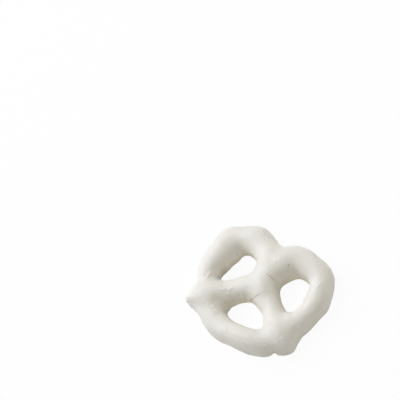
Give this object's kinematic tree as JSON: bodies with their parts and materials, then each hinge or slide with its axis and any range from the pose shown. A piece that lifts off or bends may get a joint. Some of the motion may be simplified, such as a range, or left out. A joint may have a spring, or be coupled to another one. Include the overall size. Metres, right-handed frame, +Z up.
{
  "type": "yogurt covered pretzel",
  "caption": "Small twisted pretzel under a thick smooth coat of white yogurt, lying flat, with rounded openings and two blunt rope ends at its front.",
  "frame": {"origin": "middle of the pretzel's bounding box, on the plane of its flat base", "axes": "+X from the left lobe to the right lobe, +Y from the front arc of the ring to the notch between the lobes, +Z up out of the flat base"},
  "size_m": [0.042, 0.0364, 0.0083],
  "materials": {
    "yogurt_coat": "matte to satin off-white yogurt coat, with fine bumps, hairline cracks and a few small brown pits"
  },
  "bodies": {
    "root": {"yogurt_pretzel": "yogurt_coat"}
  },
  "joints": []
}
